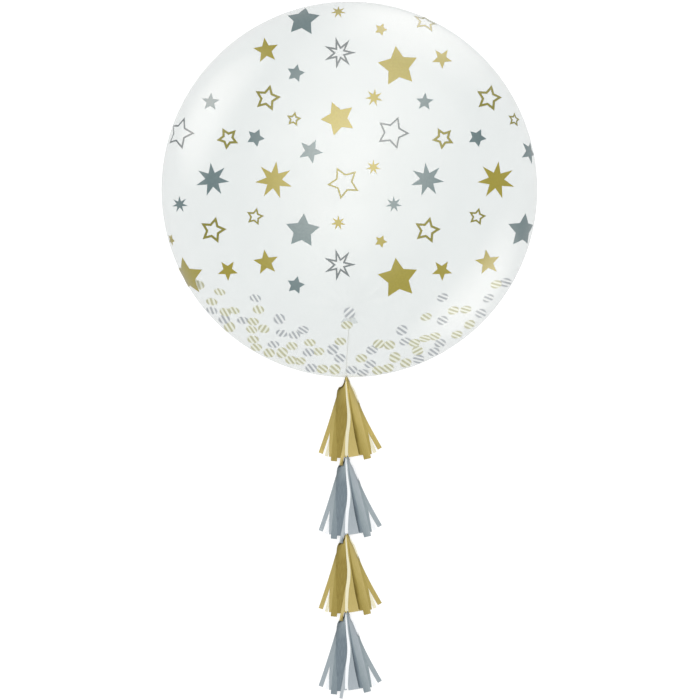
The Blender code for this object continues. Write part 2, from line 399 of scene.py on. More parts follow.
def knot_loop():
    route = []
    for step in range(KNOT_STEPS):
        angle = 2 * math.pi * step / KNOT_STEPS
        across = KNOT_SIZE * (math.sin(angle) + 2 * math.sin(2 * angle))
        along = KNOT_SIZE * (math.cos(angle) - 2 * math.cos(2 * angle))
        up = -KNOT_SIZE * 0.9 * math.sin(3 * angle)
        route.append(neck_place(across, up + TIE_RADIUS + 1.6 * STRING_DIAMETER, along))
    return route


tie_parts = [
    tube("turns", tie_turns(), STRING_DIAMETER * 0.98),
    tube("knot", knot_loop(), STRING_DIAMETER * 0.85, closed=True),
]
for part in tie_parts:
    select_only(part)
    bpy.ops.object.convert(target="MESH")
tie = join(tie_parts, "neck_string")
tie.data.materials.append(cotton)
bpy.ops.object.shade_smooth()
finish_piece(tie, ["neck_tie"])

# %% [markdown]
# ## The film
#
# The balloon is one skin of clear film, blown up to a ball. Its neck is pulled out, squeezed by the
# string and cut off straight. A ball is the natural start. The faces round one pole are extruded
# and drawn in, ring by ring, and the gathers that the tie makes run out onto the ball.

# %% The ball with its neck drawn out
GATHERS = 12
BALL_SEGMENTS = 12 * GATHERS
BALL_RINGS = 72
MOUTH_RING = 2
NECK_STEPS = 9
NECK_END_STEPS = 6
TIE_HALF_WIDTH = TIE_TURNS * STRING_DIAMETER / 2 + TOUCH
NECK_TAIL_LENGTH = 24 * MM
NECK_END_WIDTH = 26 * MM
NECK_END_THICKNESS = 5 * MM
GATHER_REACH = 60 * MM
GATHER_DEPTH = 2.2 * MM


def ease(t):
    t = min(max(t, 0.0), 1.0)
    return t * t * (3 - 2 * t)


def draw_out(piece, along, wide, high):
    """Pulls the selected end out along +Z by a length and scales it across."""
    bpy.ops.mesh.extrude_region_move(TRANSFORM_OT_translate={"value": (0, 0, along)})
    bpy.ops.transform.resize(value=(wide, high, 1), center_override=(0, 0, 0))


def neck_profile(mouth_radius, mouth_along):
    """Pairs of a place along the axis and the half width and half height there."""
    waist_along = BALL_RADIUS + NECK_TO_TIE
    for step in range(1, NECK_STEPS + 1):
        t = step / NECK_STEPS
        along = mouth_along + (waist_along - TIE_HALF_WIDTH - mouth_along) * t
        radius = NECK_WAIST_RADIUS + (mouth_radius - NECK_WAIST_RADIUS) * (1 - t) ** 2.6
        yield along, radius, radius
    yield waist_along + TIE_HALF_WIDTH, NECK_WAIST_RADIUS, NECK_WAIST_RADIUS
    for step in range(1, NECK_END_STEPS + 1):
        t = step / NECK_END_STEPS
        along = waist_along + TIE_HALF_WIDTH + (NECK_TAIL_LENGTH - TIE_HALF_WIDTH) * t
        wide = NECK_WAIST_RADIUS + (NECK_END_WIDTH / 2 - NECK_WAIST_RADIUS) * ease(t)
        high = NECK_WAIST_RADIUS + (NECK_END_THICKNESS / 2 - NECK_WAIST_RADIUS) * ease(t)
        yield along, wide, high


def make_ball():
    bpy.ops.object.select_all(action="DESELECT")
    bpy.ops.mesh.primitive_uv_sphere_add(
        segments=BALL_SEGMENTS, ring_count=BALL_RINGS, radius=BALL_RADIUS
    )
    ball = bpy.context.object
    mouth_angle = math.pi * MOUTH_RING / BALL_RINGS
    mouth_radius = BALL_RADIUS * math.sin(mouth_angle)
    mouth_along = BALL_RADIUS * math.cos(mouth_angle)
    edit(ball)
    select_faces(ball, lambda c: c.z > mouth_along)
    place, wide, high = mouth_along, mouth_radius, mouth_radius
    for along, new_wide, new_high in neck_profile(mouth_radius, mouth_along):
        draw_out(ball, along - place, new_wide / wide, new_high / high)
        place, wide, high = along, new_wide, new_high
    bpy.ops.transform.resize(value=(1, 1, 0), center_override=(0, 0, place))
    done_editing()
    return ball


def gather(ball):
    """Folds that run from the tie out onto the ball, deepest at the neck's mouth."""
    mouth = BALL_RADIUS * math.pi * MOUTH_RING / BALL_RINGS
    for vertex in ball.data.vertices:
        place = vertex.co
        across = math.hypot(place.x, place.y)
        angle = math.atan2(place.y, place.x)
        wave = math.cos(GATHERS * angle) + 0.35 * math.cos(2 * GATHERS * angle + 1.0)
        if place.length < BALL_RADIUS + 0.1 * MM:
            reach = BALL_RADIUS * math.atan2(across, place.z)
            depth = GATHER_DEPTH * ease((mouth + GATHER_REACH - reach) / GATHER_REACH)
            vertex.co = place * (1 + depth * wave / BALL_RADIUS)
        elif across > 0.1 * MM:
            depth = GATHER_DEPTH * min(0.6, across / (mouth * 1.4)) * wave
            vertex.co.x += depth * place.x / across
            vertex.co.y += depth * place.y / across


def neck_turn():
    """Turns +Z to the neck's axis, keeps X level and moves the origin to the ball's centre."""
    across = Vector((1, 0, 0))
    turn = Matrix((across, NECK_AXIS.cross(across), NECK_AXIS)).transposed()
    return Matrix.Translation(BALL_CENTRE) @ turn.to_4x4()


film = make_ball()
gather(film)
film.matrix_world = neck_turn()
place_in_mesh(film)
edit(film)
bpy.ops.mesh.select_all(action="SELECT")
bpy.ops.mesh.bisect(plane_co=(0, 0, 0), plane_no=(0, 0, 1), use_fill=True, clear_inner=True)
done_editing()
bpy.ops.object.shade_smooth()
film.name = film.data.name = "balloon_film"

# %% [markdown]
# ## Clear stretched film
#
# The skin is a clear plastic film, stretched tight by the air in it. It is milky where it catches
# light, and glossy, with broad soft highlights. It takes its see-through look from one plain alpha,
# and a faint unevenness from the stretching. Its index of refraction is that of most plastics.

# %% Film
FILM_IOR = 1.5
FILM_ROUGHNESS = 0.2
FILM_ALPHA = 0.35
STRETCH_MARKS = 90 * MM


def film_material():
    material, tree, shader = new_material("clear_stretched_film")
    place = add_node(tree, "ShaderNodeTexCoord")
    marks = add_node(
        tree,
        "ShaderNodeTexNoise",
        {"Vector": place.outputs["Object"], "Scale": 1 / STRETCH_MARKS, "Detail": 3.0},
    )
    tint = add_node(tree, "ShaderNodeValToRGB", {"Fac": marks.outputs["Fac"]})
    set_stops(tint, ((0.3, "#C1C8C7"), (0.7, "#C6CDCC")))
    set_inputs(
        shader,
        {
            "Base Color": tint.outputs["Color"],
            "Roughness": FILM_ROUGHNESS,
            "IOR": FILM_IOR,
            "Alpha": FILM_ALPHA,
        },
    )
    return material


film.data.materials.append(film_material())
finish_piece(film, ["balloon"])

# %% [markdown]
# ## The print of stars
#
# The film is printed flat, with one sheet of stars that repeats up and across, and then blown up.
# The stars are modelled flat too, in the picture's straight-down view, and bent round the ball.
# Towards the side of the ball the print stretches, as it does on the real film, up to a limit.
# It stops short of the neck, and the underside is plain.


# %% One star
class Star(NamedTuple):
    """One star of the sheet. columns and up are its places on the flat sheet from its middle."""

    points: int
    waist: float
    line: float
    ink: str
    columns: tuple
    up: float
    radius: float
    turn: float


SPIKY, SHARP, SLIM, FAT = 0.38, 0.42, 0.43, 0.52
SOLID, THIN, BOLD = 0.0, 2.8, 3.8

# Millimetres and degrees
SHEET = (
    Star(7, SHARP, SOLID, "silver", (-222, 126), 16, 27.6, -6),
    Star(7, SHARP, SOLID, "gold", (-122, 238), 15, 31.0, 7),
    Star(7, SPIKY, THIN, "silver", (-16,), -122, 26.8, -14),
    Star(7, SPIKY, SOLID, "gold", (-18,), -54, 12.6, 1),
    Star(7, SPIKY, SOLID, "gold", (39,), 36, 12.4, 0),
    Star(7, SPIKY, SOLID, "gold", (40,), 149, 14.8, 8),
    Star(7, SPIKY, SOLID, "silver", (-275, 72), -24, 13.6, -2),
    Star(5, FAT, SOLID, "silver", (-76, 284), -67, 28.6, 5),
    Star(5, FAT, SOLID, "silver", (-87, 273), -155, 15.0, 13),
    Star(5, SLIM, SOLID, "silver", (-225, 122), 142, 15.1, 4),
    Star(5, FAT, SOLID, "silver", (-152, 207), 84, 15.2, 25),
    Star(5, SLIM, SOLID, "silver", (-63, 298), 62, 20.8, 25),
    Star(5, FAT, SOLID, "gold", (-269, 79), -144, 33.7, -7),
    Star(5, SLIM, SOLID, "gold", (-135, 224), -118, 21.2, -8),
    Star(5, SLIM, SOLID, "gold", (-197, 150), -131, 17.2, 34),
    Star(5, FAT, SOLID, "gold", (51,), -84, 10.7, 23),
    Star(5, FAT, SOLID, "gold", (-18,), 115, 28.8, -21),
    Star(5, FAT, BOLD, "gold", (-133, 226), 148, 22.4, 13),
    Star(5, FAT, THIN, "gold", (-90, 269), 114, 12.6, 10),
    Star(5, FAT, BOLD, "gold", (-197, 152), 83, 18.8, -28),
    Star(5, FAT, THIN, "gold", (-153, 207), -44, 14.9, 13),
    Star(5, FAT, BOLD, "gold", (-221, 126), -66, 22.4, 13),
    Star(5, FAT, THIN, "gold", (-9,), 11, 27.6, -25),
    Star(5, FAT, THIN, "silver", (-278, 70), 92, 27.6, 20),
)
STAR_CUTS = 4


def flat_star(star):
    """A star of 2 x points corners. A line leaves only a band along its outline."""
    bpy.ops.object.select_all(action="DESELECT")
    bpy.ops.mesh.primitive_circle_add(
        vertices=2 * star.points, radius=star.radius * MM, fill_type="NGON"
    )
    made = bpy.context.object
    edit(made, "VERT")
    bm = bmesh.from_edit_mesh(made.data)
    bpy.ops.mesh.select_all(action="DESELECT")
    for vertex in bm.verts:
        vertex.select_set(vertex.index % 2 == 1)
    bmesh.update_edit_mesh(made.data)
    bpy.ops.transform.resize(value=(star.waist, star.waist, 1), center_override=(0, 0, 0))
    bpy.ops.mesh.select_mode(type="FACE")
    bpy.ops.mesh.select_all(action="SELECT")
    if star.line:
        bpy.ops.mesh.inset(thickness=star.line * MM)
        bpy.ops.mesh.delete(type="FACE")
    else:
        bpy.ops.mesh.poke()
    bpy.ops.mesh.select_all(action="SELECT")
    bpy.ops.mesh.subdivide(number_cuts=STAR_CUTS)
    done_editing()
    tip = made.data.vertices[0].co
    made.rotation_euler.z = math.pi / 2 - math.atan2(tip.y, tip.x) - math.radians(star.turn)
    return place_in_mesh(made)


# %% [markdown]
# The sheet repeats every 343 mm up and 348 mm across. A star's middle goes round the ball with the
# print, and a copy that would lie past the edge of the printed area isn't made. Nor is one in a
# gap at the upper left, where the picture has none.

# %% The sheet, repeated and bent round the ball
REPEAT_UP = 343.4
REPEAT_ACROSS = 348
PRINT_REACH = 1.015 * BALL_RADIUS
PRINT_END = -182 * MM
SHEET_GAP = (-190 * MM, 200 * MM)
MOST_STRETCH = 2.4
INK_LIFT = 0.25 * MM

STRETCH_FROM = math.acos(1 / MOST_STRETCH)


def drawn_in(x, y):
    """A flat place, drawn in by what the near side of the ball gains in the camera's view."""
    gain = math.sqrt(max(0.0, BALL_RADIUS**2 - x**2 - y**2)) / CAMERA_ABOVE
    return x - (x - VIEW_CENTRE[0]) * gain, y - (y - VIEW_CENTRE[1]) * gain


def round_the_ball(x, y, lift):
    """The place on the ball of a point of the flat print, x across and y up."""
    x, y = drawn_in(x, y)
    away = math.hypot(x, y)
    share = away / BALL_RADIUS
    if share < math.sin(STRETCH_FROM):
        angle = math.asin(share)
    else:
        angle = STRETCH_FROM + MOST_STRETCH * (share - math.sin(STRETCH_FROM))
    level = (BALL_RADIUS + lift) * math.sin(angle) / max(away, 1e-9)
    height = (BALL_RADIUS + lift) * math.cos(angle)
    return BALL_CENTRE + Vector((x * level, y * level, height))


def star_places(star):
    columns = [star.columns[0] - REPEAT_ACROSS, *star.columns, star.columns[-1] + REPEAT_ACROSS]
    for column in columns:
        for up in (star.up - REPEAT_UP, star.up, star.up + REPEAT_UP):
            place = Vector((column, up, 0)) * MM
            in_gap = place.x < SHEET_GAP[0] and place.y > SHEET_GAP[1]
            if place.length < PRINT_REACH and place.y > PRINT_END and not in_gap:
                yield place


def print_stars(ink):
    copies = []
    for star in SHEET:
        if star.ink != ink:
            continue
        pattern = flat_star(star)
        pattern.data.materials.append(INKS[ink][star.line > 0])
        for place in star_places(star):
            copied = copy_of(pattern)
            for vertex in copied.data.vertices:
                flat = vertex.co + place
                vertex.co = round_the_ball(flat.x, flat.y, INK_LIFT)
            copies.append(copied)
        bpy.data.objects.remove(pattern)
    print(ink, "stars:", len(copies))
    stars = join(copies, f"star_print_{ink}")
    bpy.ops.object.shade_smooth()
    return stars


# %% [markdown]
# ## Printed ink
#
# The ink is an opaque print with metal flakes, a little duller than the film round it. The stars
# that are only outlined look darker in the picture, so they have a darker ink. A fine grain of
# flakes, drawn about 3 mm wide so that it shows, keeps the colour from being flat.

# %% Ink
FLAKES = 3 * MM
INK_SHEEN = 0.45


def ink_material(name, dark, light):
    material, tree, shader = new_material(name)
    place = add_node(tree, "ShaderNodeTexCoord")
    flakes = add_node(
        tree,
        "ShaderNodeTexNoise",
        {"Vector": place.outputs["Object"], "Scale": 1 / FLAKES, "Detail": 4.0},
    )
    tint = add_node(tree, "ShaderNodeValToRGB", {"Fac": flakes.outputs["Fac"]})
    set_stops(tint, ((0.35, dark), (0.65, light)))
    set_inputs(
        shader,
        {
            "Base Color": tint.outputs["Color"],
            "Roughness": FILM_ROUGHNESS,
            "IOR": FILM_IOR,
            "Specular IOR Level": INK_SHEEN,
        },
    )
    return material


INKS = {
    "gold": (
        ink_material("gold_ink_on_film", "#93882F", "#9B9035"),
        ink_material("heavy_gold_ink_on_film", "#7D7830", "#858036"),
    ),
    "silver": (
        ink_material("silver_ink_on_film", "#5F7173", "#677A7C"),
        ink_material("heavy_silver_ink_on_film", "#586163", "#606A6C"),
    ),
}
for ink_name in INKS:
    finish_piece(print_stars(ink_name))

# %% [markdown]
# ## Printed paper
#
# Paper is matt. Its white is a little warm, and the stripes are a flat print that takes no shine
# from behind the film. A fine mottling stands for the paper's fibres.

# %% Paper
def paper_material(name, dark, light):
    material, tree, shader = new_material(name)
    place = add_node(tree, "ShaderNodeTexCoord")
    fibres = add_node(
        tree,
        "ShaderNodeTexNoise",
        {"Vector": place.outputs["Object"], "Scale": 1 / (2 * MM), "Detail": 3.0},
    )
    tint = add_node(tree, "ShaderNodeValToRGB", {"Fac": fibres.outputs["Fac"]})
    set_stops(tint, ((0.3, dark), (0.7, light)))
    set_inputs(shader, {"Base Color": tint.outputs["Color"], "Roughness": 0.8, "IOR": 1.45})
    return material


PAPERS = (
    (
        paper_material("gold_printed_paper", "#BBB57E", "#C2BC86"),
        paper_material("cream_paper", "#FBFBE8", "#FFFFEE"),
    ),
    (
        paper_material("silver_printed_paper", "#9DA0A7", "#A4A7AE"),
        paper_material("white_paper", "#FAFAFA", "#FDFDFD"),
    ),
)

# %% [markdown]
# ## Confetti
#
# The confetti is punched from thin paper, printed with stripes of gold or silver on white. Static
# holds it to the inside of the film, most of it round the side that hung lowest. One disc is cut
# into stripes with bisect and copied. The copies are few-sided because there are so many.

# %% One striped disc
DISC_RADIUS = 9.4 * MM
DISC_THICKNESS = 0.25 * MM
DISC_SIDES = 20
STRIPES = 5


def striped_disc(inked, plain):
    """A disc of paper with stripes across X, inked and plain in turn."""
    bpy.ops.object.select_all(action="DESELECT")
    bpy.ops.mesh.primitive_circle_add(vertices=DISC_SIDES, radius=DISC_RADIUS, fill_type="NGON")
    disc = bpy.context.object
    width = 2 * DISC_RADIUS / STRIPES
    edit(disc)
    for cut in range(1, STRIPES):
        bpy.ops.mesh.select_all(action="SELECT")
        bpy.ops.mesh.bisect(plane_co=(cut * width - DISC_RADIUS, 0, 0), plane_no=(1, 0, 0))
    done_editing()
    for face in disc.data.polygons:
        stripe = int((face.center.x + DISC_RADIUS) / width)
        face.material_index = stripe % 2
    disc.data.materials.append(inked)
    disc.data.materials.append(plain)
    apply_modifier(disc, "SOLIDIFY", thickness=DISC_THICKNESS, offset=0)
    return disc


# %% [markdown]
# Each disc gets a place under the film, in a cap round -Y that reaches higher near the ball's side.
# It leans towards -Y, as the film does there, and is pushed in until its rim clears the film. Discs
# keep far enough apart not to cut each other, and seen from above few of them overlap by much.
# Two discs over the neck are given one by one. The rest are scattered, from a seed that was picked
# because its scatter comes close to the picture's.

# %% The scattered discs
DISC_COUNT = 69
CAP_ANGLE = math.radians(38)
CAP_ANGLE_AT_SIDE = math.radians(62)
UPPER_SHARE = 0.58
SILVER_SHARE = 0.45
DISC_GAP = 19.5 * MM
SEEN_GAP = 14.5 * MM
SEEN_HEIGHT = 0.72
EDGE_FADE = math.radians(5)
FLATTER_SHARE = 0.12
CROSSED_SHARE = 0.07
FILM_CLEARANCE = 0.8 * MM
STRIPE_SLANT = math.radians(-40)
SLANT_TO_SIDE = math.radians(30)
SLANT_SPREAD = math.radians(7)
CONFETTI_SEED = 18861
OVER_THE_NECK = (Vector((-0.013, -0.724, 0.69)), Vector((0.0, -0.668, 0.744)))


def cap_direction(rng, upper):
    """A random direction in the confetti's cap, even over its area, in its upper or lower half."""
    while True:
        spread = math.acos(1 - rng.random() * (1 - math.cos(CAP_ANGLE_AT_SIDE)))
        round_axis = rng.uniform(0, 2 * math.pi)
        x = math.sin(spread) * math.cos(round_axis)
        z = math.sin(spread) * math.sin(round_axis)
        limit = CAP_ANGLE + (CAP_ANGLE_AT_SIDE - CAP_ANGLE) * ease(abs(x) / 0.8)
        edge = min(1.0, max(0.0, (limit - spread) / EDGE_FADE))
        if (z > 0) == upper and rng.random() < 0.15 + 0.85 * edge and spread < limit:
            return Vector((x, -math.cos(spread), z))


def disc_matrix(direction, rng):
    """A disc just inside the film, leaning towards -Y and only a little to its side."""
    lean_down = rng.uniform(0.2, 0.5) if rng.random() < FLATTER_SHARE else rng.uniform(0.6, 0.8)
    lean_out = direction.x * rng.uniform(0.1, 0.5)
    level = math.sqrt(max(0.1, 1 - lean_down**2 - lean_out**2))
    normal = Vector((lean_out, -lean_down, math.copysign(level, direction.z))).normalized()
    lean = math.sqrt(max(0.0, 1 - normal.dot(direction) ** 2))
    room = BALL_RADIUS - FILM_CLEARANCE
    half = DISC_RADIUS * lean
    away = math.sqrt(room**2 - DISC_RADIUS**2 + half**2) - half
    slant = STRIPE_SLANT + SLANT_TO_SIDE * direction.x + rng.gauss(0, SLANT_SPREAD)
    if rng.random() < CROSSED_SHARE:
        slant = -slant
    x, y = math.cos(slant), math.sin(slant)
    stripes = Vector((x, y, -(x * normal.x + y * normal.y) / normal.z)).normalized()
    turn = Matrix((stripes.cross(normal), stripes, normal)).transposed().to_4x4()
    return Matrix.Translation(BALL_CENTRE + direction * away) @ turn


def too_near(place, placed):
    """Whether a disc here would cut another one, or cover much of it as seen from above."""
    for other in placed:
        apart = place - other
        seen = math.hypot(apart.x, apart.y / SEEN_HEIGHT)
        if apart.length < DISC_GAP or seen < SEEN_GAP:
            return True
    return False


def scatter_confetti():
    rng = random.Random(CONFETTI_SEED)
    patterns = [striped_disc(inked, plain) for inked, plain in PAPERS]
    waiting = list(OVER_THE_NECK)
    placed, copies = [], []
    while len(copies) < DISC_COUNT:
        direction = waiting.pop() if waiting else cap_direction(rng, rng.random() < UPPER_SHARE)
        matrix = disc_matrix(direction, rng)
        if too_near(matrix.translation, placed):
            continue
        placed.append(matrix.translation)
        copied = copy_of(patterns[rng.random() < SILVER_SHARE])
        copied.data.transform(matrix)
        copies.append(copied)
    for pattern in patterns:
        bpy.data.objects.remove(pattern)
    return join(copies, "confetti_discs")


confetti = scatter_confetti()
finish_piece(confetti)

# %% [markdown]
# ## Metallised foil
#
# The foil is a thin plastic film with a vapour-deposited metal face, rolled satin, and a pale back.
# Metal has no colour of its own but that of its reflections, so the base colour is the tint. Soft
# streaks run along each strip, from the rolling. How each strip faces the light is painted into its
# colour, as painted light and shade.

# %% Foil, and its pale back, which also paints a highlight
STREAK_WIDTH = 2.6 * MM
STREAK_LENGTH = 60 * MM


def foil_streaks(tree):
    place = add_node(tree, "ShaderNodeUVMap", uv_map="UVMap")
    scaled = add_node(
        tree,
        "ShaderNodeMapping",
        {"Vector": place.outputs["UV"], "Scale": (1 / STREAK_WIDTH, 1 / STREAK_LENGTH, 1)},
    )
    return add_node(tree, "ShaderNodeTexNoise", {"Vector": scaled.outputs[0], "Detail": 2.0})


def foil_material(name, stops):
    material, tree, shader = new_material(name)
    streaks = foil_streaks(tree)
    # This attribute paints each strip's light and shade into the foil's colour.
    painted_shade = add_node(tree, "ShaderNodeAttribute", attribute_name="painted_shade")
    uneven = add_node(
        tree,
        "ShaderNodeMath",
        {0: streaks.outputs["Fac"], 1: 0.4, 2: -0.2},
        operation="MULTIPLY_ADD",
    )
    shade = add_node(tree, "ShaderNodeMath", {0: painted_shade.outputs["Fac"], 1: uneven.outputs[0]})
    tint = add_node(tree, "ShaderNodeValToRGB", {"Fac": shade.outputs[0]})
    set_stops(tint, stops)
    wrinkles = add_node(
        tree,
        "ShaderNodeBump",
        {"Height": streaks.outputs["Fac"], "Strength": 0.25, "Distance": 0.4 * MM},
    )
    set_inputs(
        shader,
        {
            "Base Color": tint.outputs["Color"],
            "Normal": wrinkles.outputs["Normal"],
            "Metallic": 1.0,
            "Roughness": 0.42,
        },
    )
    return material


# The pale material: the foil's back, and on the white line a painted highlight.
def foil_back_and_highlight_material(name, dark, light):
    material, tree, shader = new_material(name)
    streaks = foil_streaks(tree)
    tint = add_node(tree, "ShaderNodeValToRGB", {"Fac": streaks.outputs["Fac"]})
    set_stops(tint, ((0.25, dark), (0.75, light)))
    set_inputs(shader, {"Base Color": tint.outputs["Color"], "Roughness": 0.5, "IOR": 1.5})
    return material


FOILS = {
    "gold": (
        foil_material(
            "satin_gold_foil",
            ((0.0, "#6A5B2A"), (0.25, "#958446"), (0.5, "#A89858"), (0.75, "#BBAA6D"), (1.0, "#C9B984")),
        ),
        foil_back_and_highlight_material("pale_gold_foil_back_and_highlight", "#DED7B4", "#EAE5CB"),
    ),
    "silver": (
        foil_material(
            "satin_silver_foil",
            ((0.0, "#545E65"), (0.25, "#77838B"), (0.5, "#919CA0"), (0.75, "#A6AEB4"), (1.0, "#BBC1C3")),
        ),
        foil_back_and_highlight_material("white_silver_foil_back_and_highlight", "#E8EBEE", "#F6F8FA"),
    ),
}

# %% [markdown]
# ## The tassels
#
# A tassel is one sheet of foil, cut into a fringe, rolled up and tied at its top. Each strip of the
# fringe is a ribbon from the tied head to its square cut end, and the ribbons lie over each other
# in layers. A grid is bent along each ribbon's way, wide or narrow as the foil shows there, and
# draped over the bundle. Dark ribbons paint the shade in folds, and a pale one paints a highlight.
# Places are hundredths of the tassel's length, from the head's tip.


# %% The ribbons of one tassel
class Ribbon(NamedTuple):
    """One strip. way holds its places across and down and its width there.

    The light and shade painted on the foil is given 0 to 1, at its top and at its end, and fade is
    the share of its length in which that changes. shade is the painted shade across it, how much
    lighter its right side is. order is its layer, and a pale ribbon shows the pale material: the
    foil's back, and on the white line a painted highlight.
    """

    painted_shading: tuple
    order: float
    way: tuple
    shows_pale: bool = False
    fade: float = 1.0
    shade: float = 0.0


# Ribbons that lie beneath the others are painted darker, as shade between the layers.
SHADE_UNDER = 0.35
LEFT_OUTER = (
    (-0.5, 2, 1),
    (-1.7, 9, 1.5),
    (-6.3, 18.5, 4.9),
    (-11.2, 33, 5),
    (-15.2, 46, 4.8),
    (-21.3, 65, 4.7),
    (-28.4, 86.2, 4.9),
)
LEFT_BACK = ((-9, 45, 2), (-14, 60, 3), (-18.5, 75, 3.2), (-22.2, 89.7, 3.6))
LEFT_SECOND = (
    (-0.5, 4, 1),
    (-6.5, 26, 5),
    (-11.3, 46, 6.2),
    (-14.2, 60, 7.0),
    (-15.4, 70, 6.6),
    (-16.2, 90.2, 5.8),
)
LEFT_THIRD = ((-0.3, 3, 1.2), (-5.5, 24, 6), (-8.8, 45, 6.8), (-11.2, 68, 7), (-13.8, 95, 6.8))
# A dark ribbon paints the shade in the fold along the left shoulder.
SHOULDER_SHADE = (
    (-1.0, 2.2, 0.3),
    (-1.5, 4.6, 0.8),
    (-2.1, 7.7, 1.1),
    (-3.5, 10.8, 1.3),
    (-5.2, 12.7, 1.4),
    (-7.4, 14.3, 1.2),
    (-8.9, 15.4, 0.4),
)
BROAD = (
    (-0.2, 0, 1.4),
    (-1.0, 6, 2.2),
    (-1.7, 11, 4.4),
    (-2.4, 13, 6.0),
    (-3.1, 14.5, 7.8),
    (-4.4, 16.2, 10.6),
    (-4.9, 25, 12.2),
    (-5.0, 35, 12.8),
    (-5.2, 45, 13.0),
    (-6.0, 58, 11.0),
    (-6.6, 70, 8.6),
    (-6.8, 80, 7),
    (-6.9, 91.5, 6.4),
)
LONGEST = (
    (0.2, 6, 0.8),
    (0.8, 17, 1.2),
    (1.5, 28, 1.7),
    (2.5, 38, 2.3),
    (2.8, 46, 2.7),
    (1.9, 56, 3.2),
    (0.4, 64, 3.4),
    (-0.9, 72, 3.6),
    (-2.6, 82, 3.6),
    (-4.4, 91, 3.6),
    (-5.9, 99.7, 3.6),
)
MIDDLE = (
    (0.2, 10, 0.8),
    (1.2, 24, 1.4),
    (2.6, 40, 2.4),
    (2.4, 56, 3),
    (1.1, 68, 3.4),
    (-0.1, 80, 3.4),
    (-0.9, 90.3, 3.2),
)
# A pale ribbon down the middle paints the highlight of the tassel.
HIGHLIGHT_LINE = (
    (-0.4, 5, 0.3),
    (-0.3, 9, 1.1),
    (0.3, 17, 1.7),
    (1.3, 28, 2.3),
    (2.5, 38, 3.1),
    (3.0, 46, 3.6),
    (2.4, 56, 3.7),
    (1.3, 64, 3.6),
    (0.6, 75, 3.4),
    (0.2, 89, 3.2),
)
RIGHT_MIDDLE = (
    (0.2, 0, 0.8),
    (2.2, 22, 2),
    (4.3, 45, 3.6),
    (5.5, 62, 6.4),
    (6.1, 72, 8.8),
    (6.9, 80, 10.8),
    (8.4, 89.8, 11.8),
)
# A dark ribbon paints the shade in the fold beside the broad strip, fading lighter to its right.
FOLD_SHADE = (
    (0.9, 3, 0.8),
    (1.9, 13, 1.8),
    (4.0, 28, 2.6),
    (6.2, 41, 3.6),
    (8.8, 54, 4.8),
    (11.2, 65, 5.2),
    (13.2, 77, 4.6),
    (14.9, 87, 3.2),
)
RIGHT_THIRD = (
    (0.8, 3, 1),
    (5, 22, 5),
    (8, 38, 6),
    (10.5, 52, 6.5),
    (13, 66, 6),
    (15, 78, 5.4),
    (16.6, 88.4, 4.6),
)
RIGHT_BROAD = (
    (0.5, 0, 1.2),
    (4.5, 14, 5),
    (7.3, 25, 7.5),
    (10.2, 38, 8.5),
    (13.5, 52, 9),
    (17.2, 66, 8.6),
    (20.5, 79, 8.2),
    (23.8, 92.5, 8),
)
RIGHT_SECOND = (
    (0.9, 3, 1),
    (6, 20, 4),
    (10.2, 34, 6.8),
    (15.0, 50, 9.0),
    (20.0, 64, 9.0),
    (22.2, 72, 7.6),
    (24.0, 80, 7.0),
    (25.4, 87.6, 6.6),
)
RIGHT_BACK = ((1, 3, 0.8), (7.5, 22, 3), (12.5, 38, 3.6), (18, 54, 3.8), (24.5, 68, 3.9), (32.2, 85.6, 3.9))
RIGHT_OUTER = (
    (1.2, 2, 1.2),
    (4, 10.5, 2.6),
    (8.6, 21, 4),
    (12.2, 30, 4.6),
    (14.2, 36.5, 5),
    (20.9, 51, 5.1),
    (28.9, 66, 5.1),
    (37.5, 81.1, 5.1),
)
SLIVER = (
    (3.8, 7, 0.4),
    (5.5, 10.8, 1.2),
    (8.4, 15.7, 1.6),
    (10.9, 21.9, 1.6),
    (12.7, 27, 0.9),
    (13.6, 30, 0.3),
)

RIBBONS = (
    Ribbon((SHADE_UNDER, SHADE_UNDER), 0.0, ((-0.5, 4, 1), (-5, 30, 6), (-7, 60, 6.6), (-9.5, 85, 6.6))),
    Ribbon((SHADE_UNDER, SHADE_UNDER), 0.0, ((0.5, 4, 1), (5, 30, 6), (8, 60, 6.6), (10.5, 84.5, 6.6))),
    Ribbon((SHADE_UNDER, SHADE_UNDER), 0.6, ((0, 4, 1), (0, 30, 6), (0.5, 60, 6.6), (2, 85, 6.6))),
    Ribbon((0.5, 0.5), 0.4, LEFT_BACK, shows_pale=True),
    Ribbon((0.5, 0.5), 0.4, RIGHT_BACK, shows_pale=True),
    Ribbon((0.55, 0.65), 1.1, LEFT_OUTER),
    Ribbon((0.45, 0.6), 1.1, RIGHT_OUTER),
    Ribbon((0.5, 0.66), 1.8, LEFT_SECOND),
    Ribbon((0.5, 0.45), 1.7, RIGHT_SECOND),
    Ribbon((0.5, 0.34), 2.5, LEFT_THIRD),
    Ribbon((0.4, 0.3), 2.3, RIGHT_THIRD),
    Ribbon((0.6, 0.24), 3.2, BROAD, fade=0.42),
    Ribbon((0.78, 0.46), 2.9, RIGHT_BROAD, shade=0.12),
    Ribbon((0.16, 0.06), 3.7, FOLD_SHADE, shade=0.26),
    Ribbon((0.5, 0.5), 3.7, SLIVER, shows_pale=True),
    Ribbon((0.0, 0.0), 4.1, SHOULDER_SHADE),
    Ribbon((0.5, 0.76), 4.2, RIGHT_MIDDLE),
    Ribbon((0.8, 0.8), 4.8, MIDDLE),
    Ribbon((0.7, 0.85), 5.4, LONGEST),
    Ribbon((0.5, 0.5), 6.0, HIGHLIGHT_LINE, shows_pale=True),
)

# %% [markdown]
# The bundle is a low heap, highest a third of the way down. Its height in millimetres and its two
# sides are given at a few places, and everything between is read from a smooth line.

